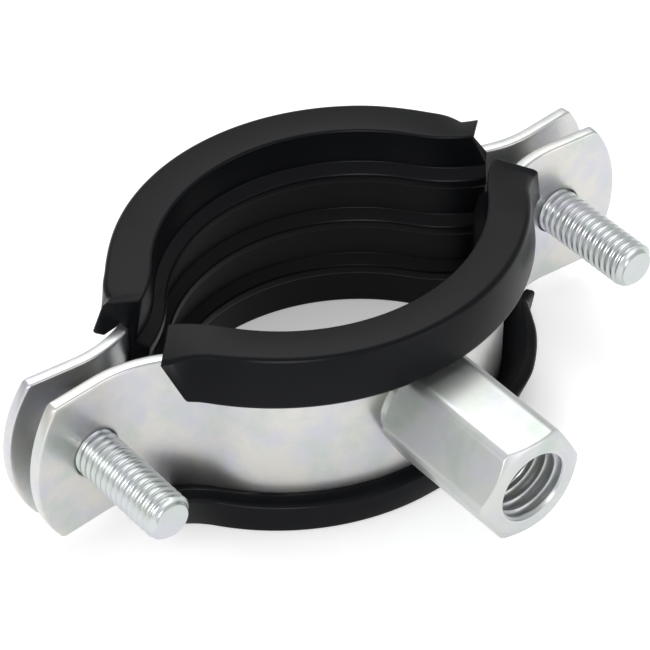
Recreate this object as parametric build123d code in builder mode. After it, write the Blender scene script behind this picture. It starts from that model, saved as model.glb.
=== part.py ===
from build123d import *
import math
import os

# Rubber lined pipe clamp, millimetres. Z runs along the pipe, X through both screws,
# and the boss points along -Y. The origin is on the pipe axis, half way up the strip.

# Strip bands
strip_width = 20.0
strip_thickness = 1.5
band_radius = 26.0          # to the middle of the strip's thickness
arc_centre_y = 7.6          # the front band's arc centre lies past the split plane
arc_half_angle = 53.4
flare_radius = 14.8
ear_tilt = 4.7              # the ears lean apart, so they close flat under load
ear_corner_x = 40.4
ear_tip_x = 43.7
ear_corner_round = 1.0

# Screws and their holes
screw_x = 34.95
screw_radius = 2.95
screw_length = 20.5
screw_tip_chamfer = 0.75
thread_radius_in_ear = 3.0
collar_radius = 3.9
collar_height = 0.8
clearance_radius = 3.3
head_radius = 5.2
head_height = 4.0
head_edge_round = 0.9
head_seat_gap = 0.05
slot_width = 1.4
slot_depth = 1.5
cross_span = 5.6
cross_width = 1.1
cross_depth = 2.4

# Boss nut, welded to the front band
nut_across_flats = 13.0
nut_corner_radius = 7.25
nut_face_radius = 6.2
nut_end_y = -38.05
nut_hole_radius = 4.25      # the tapping size of an M10 thread
nut_hole_depth = 15.0
nut_mouth_chamfer = 0.3
weld_neck_radius = 5.9
weld_neck_length = 0.45

# Lining section: n is measured outward from the middle of the strip, z along the pipe
rim_z = 13.5
rim_inner_n = -1.75
rim_outer_n = 3.3
rib_crest_n = -3.0
rib_centre_z = 7.2
rib_half_crest = 0.9
rib_half_foot = 1.6
lip_outer = (5.2, 7.6)
lip_inner = (2.1, 7.0)
groove_gap = 0.03
groove_mouth_z = 9.4
rim_inner_round = 0.4
rim_outer_round = 1.1
lip_round = 0.5
lining_end_direction = 31.0  # strip direction, from X, where the lining stops
lining_end_slant = 14.0      # its end face leans out along the flare by this angle
lip_end_z = 11.7             # below here the lip's end is cut back
lip_end_slant = 0.8          # by this much at its free edge

half_thickness = strip_thickness / 2
half_width = strip_width / 2
flare_x = (band_radius + flare_radius) * math.sin(math.radians(arc_half_angle))
flare_y = arc_centre_y - (band_radius + flare_radius) * math.cos(
    math.radians(arc_half_angle)
)
flare_centre = (flare_x, flare_y)
ear_start_x = flare_x + flare_radius * math.sin(math.radians(ear_tilt))
ear_start_y = flare_y + flare_radius * math.cos(math.radians(ear_tilt))
ear_length = (ear_tip_x + 2 - ear_start_x) / math.cos(math.radians(ear_tilt))
ear_crown_y = flare_y + flare_radius
band_outer_radius = band_radius + half_thickness
nut_base_y = arc_centre_y - band_outer_radius - weld_neck_length
head_seat_y = (
    (screw_x + head_radius - ear_start_x) * math.tan(math.radians(ear_tilt))
    - ear_start_y
    + half_thickness / math.cos(math.radians(ear_tilt))
    + head_seat_gap
)
screw_spots = ((-screw_x, 0), (screw_x, 0))
groove_n = half_thickness + groove_gap
groove_z = half_width + groove_gap


# ------------------------------------------------------------------ strip outline
# The strip's route in plan: ear, flare, arc, flare, ear.
with BuildLine() as band_route:
    CenterArc((0, arc_centre_y), band_radius, 270 - arc_half_angle, 2 * arc_half_angle)
    flare = CenterArc(
        flare_centre, flare_radius, 90 + arc_half_angle, -arc_half_angle - ear_tilt
    )
    ear = PolarLine(flare @ 1, ear_length, -ear_tilt)
    mirror([flare, ear], about=Plane.YZ)

# Side view of the strip: straight edges, then a shallow arc across each ear.
with BuildSketch(Plane.XZ) as ear_outline:
    with BuildLine():
        top_edge = Line((-ear_corner_x, half_width), (ear_corner_x, half_width))
        right_end = ThreePointArc(
            top_edge @ 1, (ear_tip_x, 0), (ear_corner_x, -half_width)
        )
        bottom_edge = Line(right_end @ 1, (-ear_corner_x, -half_width))
        ThreePointArc(bottom_edge @ 1, (-ear_tip_x, 0), top_edge @ 0)
    make_face()
    fillet(ear_outline.vertices(), ear_corner_round)


# ------------------------------------------------------------------ front band
with BuildPart() as front_band:
    with BuildSketch(Plane.XY.offset(-half_width)):
        trace(band_route.line, line_width=strip_thickness)
    extrude(amount=strip_width)
    extrude(ear_outline.sketch, amount=band_radius, both=True, mode=Mode.INTERSECT)
    # Threaded collars, drawn from the ears into the gap between the bands.
    with BuildSketch(Plane.XZ.offset(-ear_crown_y)):
        with Locations(screw_spots):
            Circle(collar_radius)
    extrude(amount=-half_thickness - collar_height)
    with BuildSketch(Plane.XZ):
        with Locations(screw_spots):
            Circle(thread_radius_in_ear)
    extrude(amount=band_radius, both=True, mode=Mode.SUBTRACT)
front_band.part.label = "front_band"


# ------------------------------------------------------------------ back band
with BuildPart() as back_band:
    with BuildSketch(Plane.XY.offset(-half_width)):
        trace(band_route.line, line_width=strip_thickness)
    extrude(amount=strip_width)
    extrude(ear_outline.sketch, amount=band_radius, both=True, mode=Mode.INTERSECT)
    mirror(about=Plane.XZ, mode=Mode.REPLACE)
    with BuildSketch(Plane.XZ):
        with Locations(screw_spots):
            Circle(clearance_radius)
    extrude(amount=band_radius, both=True, mode=Mode.SUBTRACT)
back_band.part.label = "back_band"


# ------------------------------------------------------------------ lining section
def lining_corners():
    """Upper half of the lining's section, from the middle rib round to its groove."""
    return [
        (rib_crest_n, 0),
        (rib_crest_n, rib_half_crest),
        (rim_inner_n, rib_half_foot),
        (rim_inner_n, rib_centre_z - rib_half_foot),
        (rib_crest_n, rib_centre_z - rib_half_crest),
        (rib_crest_n, rib_centre_z + rib_half_crest),
        (rim_inner_n, rib_centre_z + rib_half_foot),
        (rim_inner_n, rim_z),
        (rim_outer_n, rim_z),
        lip_outer,
        lip_inner,
        (groove_n, groove_mouth_z),
        (groove_n, groove_z),
        (-groove_n, groove_z),
        (-groove_n, 0),
    ]


def corners_at(vertices, *spots):
    """The vertices that lie at the given (n, z) spots or at their mirror images."""
    return [
        vertex
        for vertex in vertices
        for n, z in spots
        if abs(vertex.X - n) < groove_gap and abs(abs(vertex.Y) - z) < groove_gap
    ]


def flare_turn(direction, n):
    """The point (x, y) on the right flare where the strip heads in a direction."""
    turn = math.radians(direction)
    reach = flare_radius - n
    return flare_x - reach * math.sin(turn), flare_y + reach * math.cos(turn)


# The route that the lining is drawn along, which runs past its slanted ends.
route_end_direction = lining_end_direction - lining_end_slant / 2
with BuildLine() as lining_route:
    CenterArc((0, arc_centre_y), band_radius, 270 - arc_half_angle, 2 * arc_half_angle)
    lining_flare = CenterArc(
        flare_centre,
        flare_radius,
        90 + arc_half_angle,
        route_end_direction - arc_half_angle,
    )
    mirror(lining_flare, about=Plane.YZ)

route_turn = math.radians(route_end_direction)
route_x, route_y = flare_turn(route_end_direction, 0)
section_plane = Plane(
    origin=(-route_x, route_y, 0),
    x_dir=(-math.sin(route_turn), -math.cos(route_turn), 0),
    z_dir=(math.cos(route_turn), -math.sin(route_turn), 0),
)

with BuildSketch(section_plane) as lining_section:
    with BuildLine():
        upper_half = Polyline(lining_corners())
        mirror(upper_half, about=Plane.XZ)
    make_face()
    fillet(corners_at(lining_section.vertices(), (rim_inner_n, rim_z)), rim_inner_round)
    fillet(corners_at(lining_section.vertices(), (rim_outer_n, rim_z)), rim_outer_round)
    fillet(corners_at(lining_section.vertices(), lip_outer, lip_inner), lip_round)

# The end face starts at the rim's inner corner. X runs along the strip there, Z outward.
end_turn = math.radians(lining_end_direction + lining_end_slant)
end_plane = Plane(
    origin=flare_turn(lining_end_direction, rim_inner_n),
    x_dir=(math.cos(end_turn), math.sin(end_turn), 0),
    z_dir=(math.sin(end_turn), -math.cos(end_turn), 0),
)
end_cut_length = 2 * lip_outer[0]

with BuildSketch(end_plane) as end_cut:
    Rectangle(end_cut_length, 2 * rim_z, align=(Align.MIN, Align.CENTER))

with BuildSketch(end_plane.offset(-rim_inner_n)) as lip_end_cut:
    with BuildLine():
        Polyline(
            (0, -lip_end_z),
            (-lip_end_slant, -lip_inner[1]),
            (-lip_end_slant, lip_inner[1]),
            (0, lip_end_z),
            close=True,
        )
    make_face()


# ------------------------------------------------------------------ linings
with BuildPart() as front_lining:
    sweep(lining_section.sketch, path=lining_route.wire())
    end_waste = extrude(
        end_cut.sketch, amount=end_cut_length, both=True, mode=Mode.PRIVATE
    )
    lip_waste = extrude(lip_end_cut.sketch, amount=end_cut_length, mode=Mode.PRIVATE)
    for waste in (end_waste, lip_waste):
        add(waste, mode=Mode.SUBTRACT)
        add(waste.mirror(Plane.YZ), mode=Mode.SUBTRACT)
front_lining.part.label = "front_lining"

with BuildPart() as back_lining:
    add(front_lining.part)
    mirror(about=Plane.XZ, mode=Mode.REPLACE)
back_lining.part.label = "back_lining"


# ------------------------------------------------------------------ boss nut
with BuildPart() as boss_nut:
    with BuildSketch(Plane.XZ.offset(-nut_base_y)):
        RegularPolygon(nut_across_flats / 2, 6, major_radius=False)
    extrude(amount=nut_base_y - nut_end_y)
    # Both ends are chamfered at thirty degrees and the corners are slightly rounded.
    with BuildSketch(Plane.XY):
        chamfer_length = (nut_corner_radius - nut_face_radius) * math.tan(math.pi / 6)
        with BuildLine():
            Polyline(
                (0, nut_base_y),
                (nut_face_radius, nut_base_y),
                (nut_corner_radius, nut_base_y - chamfer_length),
                (nut_corner_radius, nut_end_y + chamfer_length),
                (nut_face_radius, nut_end_y),
                (0, nut_end_y),
                close=True,
            )
        make_face()
    revolve(axis=Axis.Y, mode=Mode.INTERSECT)
    # The neck is a fused ring of weld between the nut and the curved band.
    with BuildSketch(Plane.XZ.offset(-nut_base_y)):
        Circle(weld_neck_radius)
    extrude(amount=-2 * weld_neck_radius)
    with BuildSketch(Plane.XY.offset(-half_width)):
        with Locations((0, arc_centre_y)):
            Circle(band_outer_radius)
    extrude(amount=strip_width, mode=Mode.SUBTRACT)
    with BuildSketch(Plane.XZ.offset(-nut_end_y)):
        Circle(nut_hole_radius)
    extrude(amount=-nut_hole_depth, mode=Mode.SUBTRACT)
    end_face = boss_nut.faces().sort_by(Axis.Y)[0]
    chamfer(end_face.inner_wires()[0].edges(), nut_mouth_chamfer)
boss_nut.part.label = "boss_nut"


# ------------------------------------------------------------------ screws
def make_screw(side):
    """A clamp screw at x = side * screw_x, with its head against the back ear."""
    seat = Plane.XZ.offset(-head_seat_y)
    head_top = Plane.XZ.offset(-head_seat_y - head_height)
    axis_spot = (side * screw_x, 0)
    with BuildPart() as screw:
        with BuildSketch(seat):
            with Locations(axis_spot):
                Circle(screw_radius)
        extrude(amount=screw_length)
        chamfer(screw.faces().sort_by(Axis.Y)[0].edges(), screw_tip_chamfer)
        with BuildSketch(seat):
            with Locations(axis_spot):
                Circle(head_radius)
        extrude(amount=-head_height)
        fillet(screw.faces().sort_by(Axis.Y)[-1].edges(), head_edge_round)
        with BuildSketch(head_top):
            with Locations(axis_spot):
                Rectangle(slot_width, 2 * head_radius + slot_width)
        extrude(amount=slot_depth, mode=Mode.SUBTRACT)
        with BuildSketch(head_top):
            with Locations(axis_spot):
                Rectangle(cross_span, cross_width)
                Rectangle(cross_width, cross_span)
        extrude(amount=cross_depth, mode=Mode.SUBTRACT)
    return screw


left_screw = make_screw(-1)
left_screw.part.label = "left_screw"

right_screw = make_screw(1)
right_screw.part.label = "right_screw"


# ------------------------------------------------------------------ export
os.makedirs("parts", exist_ok=True)
export_step(front_band.part, "parts/front_band.step")
export_step(back_band.part, "parts/back_band.step")
export_step(front_lining.part, "parts/front_lining.step")
export_step(back_lining.part, "parts/back_lining.step")
export_step(boss_nut.part, "parts/boss_nut.step")
export_step(left_screw.part, "parts/left_screw.step")
export_step(right_screw.part, "parts/right_screw.step")
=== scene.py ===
"""Dressed model of a rubber lined pipe clamp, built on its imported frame."""

import logging
import math
from collections.abc import Sequence
from dataclasses import dataclass, field
from enum import Enum

import bmesh
import bpy
import numpy as np
from mathutils import Matrix, Vector


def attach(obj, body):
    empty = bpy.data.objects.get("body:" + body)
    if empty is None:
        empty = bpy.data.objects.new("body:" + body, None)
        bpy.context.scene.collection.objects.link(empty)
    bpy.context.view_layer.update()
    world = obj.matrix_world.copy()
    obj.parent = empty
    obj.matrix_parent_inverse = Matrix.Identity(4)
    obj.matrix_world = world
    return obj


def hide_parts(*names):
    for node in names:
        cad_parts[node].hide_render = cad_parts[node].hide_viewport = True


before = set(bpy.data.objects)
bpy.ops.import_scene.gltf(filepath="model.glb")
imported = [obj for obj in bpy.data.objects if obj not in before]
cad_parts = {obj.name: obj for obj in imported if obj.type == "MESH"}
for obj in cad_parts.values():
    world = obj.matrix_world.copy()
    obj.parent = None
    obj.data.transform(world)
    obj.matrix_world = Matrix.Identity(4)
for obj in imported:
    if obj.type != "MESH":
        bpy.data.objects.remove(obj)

log = logging.getLogger("pipe_clamp")
MM = 0.001
TURN = 2.0 * math.pi
Socket = bpy.types.NodeSocket
Tree = bpy.types.NodeTree
Material = bpy.types.Material
Object = bpy.types.Object


class Half(Enum):
    """Which half of the clamp a piece belongs to, with its turn about the pipe axis."""

    FRONT = 0.0
    BACK = math.pi


class Side(Enum):
    """The side of the clamp that a screw is on."""

    LEFT = -1
    RIGHT = 1


# ---------------------------------------------------------------- small tools
def linear(code: str) -> tuple[float, float, float, float]:
    """Turns an sRGB hex colour into the linear RGBA that a shader takes.

    Args:
        code: Six hex digits after a hash sign.

    Returns:
        Linear red, green and blue, with an alpha of one.
    """
    parts = [int(code[i : i + 2], 16) / 255 for i in (1, 3, 5)]
    red, green, blue = (c / 12.92 if c <= 0.04045 else ((c + 0.055) / 1.055) ** 2.4 for c in parts)
    return red, green, blue, 1.0


def add_node(
    tree: Tree, kind: str, inputs: dict | None = None, **settings: object
) -> bpy.types.Node:
    """Adds a node with its settings, and its values or links.

    Args:
        tree: The node tree that gets the node.
        kind: The node's type name.
        inputs: Socket name or index to a value, or to the output socket to link.
        **settings: The node's own properties.

    Returns:
        The new node.
    """
    node = tree.nodes.new(kind)
    for name, value in settings.items():
        setattr(node, name, value)
    for key, value in (inputs or {}).items():
        if isinstance(value, Socket):
            tree.links.new(value, node.inputs[key])
        else:
            node.inputs[key].default_value = value
    return node


def math_node(tree: Tree, operation: str, *values: Socket | float) -> Socket:
    """Adds one arithmetic node and returns its result."""
    inputs = dict(enumerate(values))
    return add_node(tree, "ShaderNodeMath", inputs, operation=operation).outputs[0]


def vector_node(tree: Tree, operation: str, *values: Socket | tuple) -> Socket:
    """Adds one vector arithmetic node and returns its vector."""
    inputs = dict(enumerate(values))
    return add_node(tree, "ShaderNodeVectorMath", inputs, operation=operation).outputs[0]


def ramp(value: np.ndarray, start: float, end: float) -> np.ndarray:
    """Goes from nothing at start to one at end, and stays level on either side."""
    return np.clip((value - start) / (end - start), 0, 1)


def link_object(name: str, data: bpy.types.ID) -> Object:
    """Makes an object at the origin and links it to the scene."""
    made = bpy.data.objects.new(name, data)
    bpy.context.scene.collection.objects.link(made)
    return made


def weld(mesh: bpy.types.Mesh, distance: float = 2e-6) -> None:
    """Merges doubled vertices and points every face outwards.

    Args:
        mesh: The mesh to mend.
        distance: Vertices nearer than this, in metres, become one.
    """
    work = bmesh.new()
    work.from_mesh(mesh)
    bmesh.ops.remove_doubles(work, verts=work.verts, dist=distance)
    bmesh.ops.dissolve_degenerate(work, edges=work.edges, dist=distance / 20)
    bmesh.ops.recalc_face_normals(work, faces=work.faces)
    work.to_mesh(mesh)
    work.free()


def shade(mesh: bpy.types.Mesh, sharp_angle: float) -> None:
    """Shades a mesh smooth, but for edges that bend by more than an angle in degrees."""
    mesh.shade_smooth()
    mesh.set_sharp_from_angle(angle=math.radians(sharp_angle))


def plain_object(
    name: str, vertices: np.ndarray, faces: list, sharp_angle: float = 30.0
) -> Object:
    """Makes a closed, outward-facing mesh object from millimetre vertices.

    Args:
        name: The object's name.
        vertices: Rows of x, y and z in millimetres.
        faces: Vertex index lists.
        sharp_angle: Edges that bend by more than this, in degrees, stay crisp.

    Returns:
        The new object at the origin, linked to the scene.
    """
    mesh = bpy.data.meshes.new(name)
    mesh.from_pydata((vertices * MM).tolist(), [], faces)
    weld(mesh)
    shade(mesh, sharp_angle)
    return link_object(name, mesh)


def grid_faces(rows: int, columns: int, start: int = 0, ring: bool = False) -> list:
    """Quads of a row-by-row grid of vertices.

    Args:
        rows: How many rows of vertices there are.
        columns: How many vertices are in a row.
        start: The index of the first vertex.
        ring: Whether the last column joins the first.

    Returns:
        One list of four indices for each quad.
    """
    faces = []
    for row in range(rows - 1):
        low, high = start + row * columns, start + (row + 1) * columns
        for column in range(columns if ring else columns - 1):
            after = (column + 1) % columns
            faces.append([low + column, low + after, high + after, high + column])
    return faces


def stacked(
    name: str, rows: Sequence, sharp_angle: float = 30.0, capped: bool = False
) -> Object:
    """Makes an object from rings of points that follow one another.

    Args:
        name: The object's name.
        rows: Rings of x, y and z in millimetres, with the same number of points.
        sharp_angle: Edges that bend by more than this, in degrees, stay crisp.
        capped: Whether a face closes the first ring and the last.

    Returns:
        The new object at the origin, linked to the scene.
    """
    grid = np.array(rows)
    count, columns = grid.shape[:2]
    faces = grid_faces(count, columns, ring=True)
    if capped:
        faces.append(list(range(columns)))
        faces.append(list(range((count - 1) * columns, count * columns)))
    return plain_object(name, grid.reshape(-1, 3), faces, sharp_angle)


def spun(profile: Sequence[tuple[float, float]], steps: int, x: float = 0.0) -> list:
    """Rings of a profile of radius and y, turned about a line along Y at x."""
    turns = np.linspace(0, TURN, steps, endpoint=False)
    return [[(x + r * math.cos(a), y, r * math.sin(a)) for a in turns] for r, y in profile]


def join(name: str, pieces: list[Object]) -> Object:
    """Joins closed shells into one object without welding them together."""
    work = bmesh.new()
    for piece in pieces:
        work.from_mesh(piece.data)
    mesh = bpy.data.meshes.new(name)
    work.to_mesh(mesh)
    work.free()
    joined = link_object(name, mesh)
    for piece in pieces:
        bpy.data.objects.remove(piece)
    return joined


def assembled(name: str, shells: list[Object], material: Material, sharp_angle: float) -> Object:
    """Joins shells into one piece that wears one material.

    Args:
        name: The piece's name.
        shells: The closed shells. They are removed.
        material: The piece's finish.
        sharp_angle: Edges that bend by more than this, in degrees, stay crisp.

    Returns:
        The finished piece.
    """
    piece = join(name, shells)
    piece.data.materials.clear()
    piece.data.materials.append(material)
    piece.data.polygons.foreach_set("material_index", [0] * len(piece.data.polygons))
    shade(piece.data, sharp_angle)
    return piece


def rounded_corner(
    before: np.ndarray, corner: np.ndarray, after: np.ndarray, radius: float, steps: int
) -> list[np.ndarray]:
    """Points of the arc that rounds one corner of a polygon.

    Args:
        before: The corner before this one.
        corner: The corner to round.
        after: The corner after this one.
        radius: The arc's radius, in the polygon's own units.
        steps: How many spans the arc has.

    Returns:
        The arc's points, from the side of before to the side of after.
    """
    into = (before - corner) / np.linalg.norm(before - corner)
    away = (after - corner) / np.linalg.norm(after - corner)
    half = math.acos(float(np.clip(into @ away, -1, 1))) / 2
    reach = radius / math.tan(half)
    bisector = (into + away) / np.linalg.norm(into + away)
    centre = corner + bisector * radius / math.sin(half)
    start = corner + into * reach - centre
    end = corner + away * reach - centre
    sweep = math.pi - 2 * half
    if start[0] * end[1] - start[1] * end[0] < 0:
        sweep = -sweep
    arc = []
    for turn in (sweep * step / steps for step in range(steps + 1)):
        cosine, sine = math.cos(turn), math.sin(turn)
        x, y = cosine * start[0] - sine * start[1], sine * start[0] + cosine * start[1]
        arc.append(centre + np.array([x, y]))
    return arc


def quarter_round(radius: float, steps: int) -> list[tuple[float, float]]:
    """How far each point of a rounded edge lies short of the side and below the face."""
    turns = np.linspace(0, math.pi / 2, steps)
    return [(radius * (1 - math.sin(a)), radius * (1 - math.cos(a))) for a in turns]


def beside(tangent: np.ndarray) -> np.ndarray:
    """Unit normals to the right of a plane line's tangents."""
    unit = tangent / np.linalg.norm(tangent, axis=1)[:, None]
    return np.stack([unit[:, 1], -unit[:, 0]], axis=1)


def arc_points(centre: np.ndarray, radius: float, turns: Sequence[float]) -> list[np.ndarray]:
    """Points on a circle at angles from -Y, or from +Y where the radius is negative."""
    return [centre + radius * np.array([math.sin(a), -math.cos(a)]) for a in turns]


# ---------------------------------------------------------------- finishes
def material_tree(name: str) -> tuple[Material, Tree, Socket]:
    """Starts a material, and gives its tree and the object coordinates."""
    made = bpy.data.materials.new(name)
    made.use_nodes = True
    made.node_tree.nodes.clear()
    place = add_node(made.node_tree, "ShaderNodeTexCoord").outputs["Object"]
    return made, made.node_tree, place


def noise(
    tree: Tree, place: Socket, size_mm: float, detail: float, roughness: float = 0.5
) -> bpy.types.Node:
    """Adds a noise texture with cells of about one size."""
    scale = 1.0 / (size_mm * MM)
    inputs = {"Vector": place, "Scale": scale, "Detail": detail, "Roughness": roughness}
    return add_node(tree, "ShaderNodeTexNoise", inputs)


def ranged(
    tree: Tree,
    value: Socket,
    band: tuple[float, float],
    to: tuple[float, float] = (0.0, 1.0),
    **settings: str,
) -> Socket:
    """Maps a band of a value to another range, without going past either end."""
    inputs = {
        "Value": value,
        "From Min": band[0],
        "From Max": band[1],
        "To Min": to[0],
        "To Max": to[1],
    }
    return add_node(tree, "ShaderNodeMapRange", inputs, **settings).outputs["Result"]


def blend_colours(tree: Tree, share: Socket, first: object, second: object) -> Socket:
    """Goes from one colour to another by a share between nothing and one.

    A mix node has a pair of inputs for each kind of value under the same names, so the
    colours go in by their places.
    """
    first_place, second_place, result_place = 6, 7, 2
    inputs = {"Factor": share, first_place: first, second_place: second}
    return add_node(tree, "ShaderNodeMix", inputs, data_type="RGBA").outputs[result_place]


def end_material(tree: Tree, relief: Socket, relief_mm: float, inputs: dict) -> None:
    """Ends a material with one shader on a fine relief.

    Args:
        tree: The material's tree.
        relief: The relief's height, from nothing to one.
        relief_mm: How high the relief is.
        inputs: The shader's other inputs.
    """
    height = {"Height": relief, "Distance": relief_mm * MM, "Strength": 1.0}
    normal = add_node(tree, "ShaderNodeBump", height).outputs["Normal"]
    shader = add_node(tree, "ShaderNodeBsdfPrincipled", {**inputs, "Normal": normal})
    add_node(tree, "ShaderNodeOutputMaterial", {"Surface": shader.outputs[0]})


@dataclass(frozen=True)
class ZincPlate:
    """Bright zinc plate on steel.

    The eye gets a pale metal that mirrors its surroundings softly, with the faint lilac
    and green patches of its passivation.
    """

    name: str
    colour: str = "#CCCAC5"
    lilac: str = "#C1C2C9"
    green: str = "#B9C1BC"
    lilac_band: tuple[float, float] = (0.42, 0.62)
    green_band: tuple[float, float] = (0.5, 0.68)
    patch_mm: float = 5.0
    metallic: float = 0.92
    roughness: float = 0.31
    roughness_span: tuple[float, float] = (0.92, 1.1)
    grain_mm: float = 0.35
    grain_band: tuple[float, float] = (0.3, 0.7)
    grain_stretch: tuple[float, float, float] = (1.0, 1.0, 1.0)
    relief_mm: float = 0.0006

    def material(self) -> Material:
        """Builds the material: plate colour, passivation tint and rolling marks."""
        made, tree, place = material_tree(self.name)
        patches = noise(tree, place, self.patch_mm, 5.0, 0.62)
        mapping = {"Vector": place, "Scale": self.grain_stretch}
        stretched = add_node(tree, "ShaderNodeMapping", mapping).outputs["Vector"]
        grain = noise(tree, stretched, self.grain_mm, 4.0, 0.6).outputs["Fac"]
        parts = add_node(tree, "ShaderNodeSeparateColor", {"Color": patches.outputs["Color"]})
        lilac = ranged(tree, parts.outputs["Red"], self.lilac_band)
        green = ranged(tree, parts.outputs["Green"], self.green_band)
        colour = blend_colours(tree, lilac, linear(self.colour), linear(self.lilac))
        colour = blend_colours(tree, green, colour, linear(self.green))
        low, high = self.roughness_span
        span = (self.roughness * low, self.roughness * high)
        inputs = {
            "Base Color": colour,
            "Metallic": self.metallic,
            "Roughness": ranged(tree, grain, self.grain_band, span),
        }
        end_material(tree, grain, self.relief_mm, inputs)
        return made


@dataclass(frozen=True)
class ExtrudedRubber:
    """Black extruded EPDM rubber.

    The eye gets a near-black, matt skin with a dull sheen on the faces turned to the
    light, and a faint grey bloom in patches.
    """

    name: str = "black EPDM rubber extrusion"
    colour: str = "#060709"
    bloom: str = "#0E0F12"
    bloom_mm: float = 6.25
    sheen_level: float = 0.105
    refraction: float = 1.52
    roughness: float = 0.34
    grain_mm: float = 0.12
    relief_mm: float = 0.006

    def material(self) -> Material:
        """Builds the material: near-black body, bloom in patches, a fine skin grain."""
        made, tree, place = material_tree(self.name)
        patches = noise(tree, place, self.bloom_mm, 5.0).outputs["Fac"]
        skin = noise(tree, place, self.grain_mm, 3.0).outputs["Fac"]
        inputs = {
            "Base Color": blend_colours(tree, patches, linear(self.colour), linear(self.bloom)),
            "Roughness": self.roughness,
            "IOR": self.refraction,
            "Specular IOR Level": self.sheen_level,
        }
        end_material(tree, skin, self.relief_mm, inputs)
        return made


@dataclass(frozen=True)
class Finishes:
    """The materials that the clamp's pieces wear."""

    strip: Material
    nut: Material
    screw: Material
    rubber: Material

    @classmethod
    def make(cls) -> "Finishes":
        """Makes one material for each of the clamp's finishes."""
        nut = ZincPlate(
            "bright zinc-plated drawn hexagon bar",
            colour="#C1C4C0",
            lilac="#BFC0C6",
            green="#B3BCB6",
            roughness=0.38,
            grain_stretch=(1.0, 0.12, 1.0),
        )
        screw = ZincPlate(
            "bright zinc-plated rolled screw thread", colour="#BEC4C2", roughness=0.3
        )
        return cls(
            strip=ZincPlate("bright zinc-plated rolled steel strip").material(),
            nut=nut.material(),
            screw=screw.material(),
            rubber=ExtrudedRubber().material(),
        )


# ---------------------------------------------------------------- geometry trees
def tree_with(name: str, sizes: dict[str, str]) -> tuple[Tree, bpy.types.NodeOutputs]:
    """Starts a geometry tree with named inputs.

    Args:
        name: The tree's name.
        sizes: Input name to the last part of its socket type, after the geometry itself.

    Returns:
        The tree and its given values.
    """
    tree = bpy.data.node_groups.new(name, "GeometryNodeTree")
    tree.interface.new_socket("Geometry", in_out="INPUT", socket_type="NodeSocketGeometry")
    for label, kind in sizes.items():
        tree.interface.new_socket(label, in_out="INPUT", socket_type="NodeSocket" + kind)
    tree.interface.new_socket("Geometry", in_out="OUTPUT", socket_type="NodeSocketGeometry")
    return tree, add_node(tree, "NodeGroupInput").outputs


def end_tree(tree: Tree, geometry: Socket, material: Socket) -> None:
    """Ends a geometry tree with real geometry and its material."""
    real = add_node(tree, "GeometryNodeRealizeInstances", {"Geometry": geometry})
    inputs = {"Geometry": real.outputs[0], "Material": material}
    dressed = add_node(tree, "GeometryNodeSetMaterial", inputs)
    add_node(tree, "NodeGroupOutput", {"Geometry": dressed.outputs[0]})


def position_parts(tree: Tree) -> bpy.types.NodeOutputs:
    """X, Y and Z of each point's place."""
    place = add_node(tree, "GeometryNodeInputPosition").outputs[0]
    return add_node(tree, "ShaderNodeSeparateXYZ", {0: place}).outputs


def bend_tree() -> Tree:
    """A tree that lays a flat blank along the strip's route.

    The blank's X is distance along the route from its middle, its Y is the distance
    outward from the route, and its Z is kept.
    """
    sizes = {"Route": "Object", "Half Length": "Float", "Material": "Material"}
    tree, given = tree_with("bend a flat blank along the strip route", sizes)
    blank = position_parts(tree)
    along = math_node(tree, "ADD", blank["X"], given["Half Length"])
    route = add_node(tree, "GeometryNodeObjectInfo", {"Object": given["Route"]})
    sample = add_node(
        tree,
        "GeometryNodeSampleCurve",
        {"Curves": route.outputs["Geometry"], "Length": along},
        mode="LENGTH",
        use_all_curves=True,
        data_type="FLOAT_VECTOR",
    ).outputs
    outward = vector_node(tree, "CROSS_PRODUCT", sample["Tangent"], (0.0, 0.0, 1.0))
    outward = vector_node(tree, "NORMALIZE", outward)
    scaled = {0: outward, "Scale": blank["Y"]}
    stand_off = add_node(tree, "ShaderNodeVectorMath", scaled, operation="SCALE").outputs[0]
    height = add_node(tree, "ShaderNodeCombineXYZ", {"Z": blank["Z"]}).outputs[0]
    place = vector_node(tree, "ADD", sample["Position"], stand_off)
    place = vector_node(tree, "ADD", place, height)
    inputs = {"Geometry": given["Geometry"], "Position": place}
    bent = add_node(tree, "GeometryNodeSetPosition", inputs)
    end_tree(tree, bent.outputs[0], given["Material"])
    return tree


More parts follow.
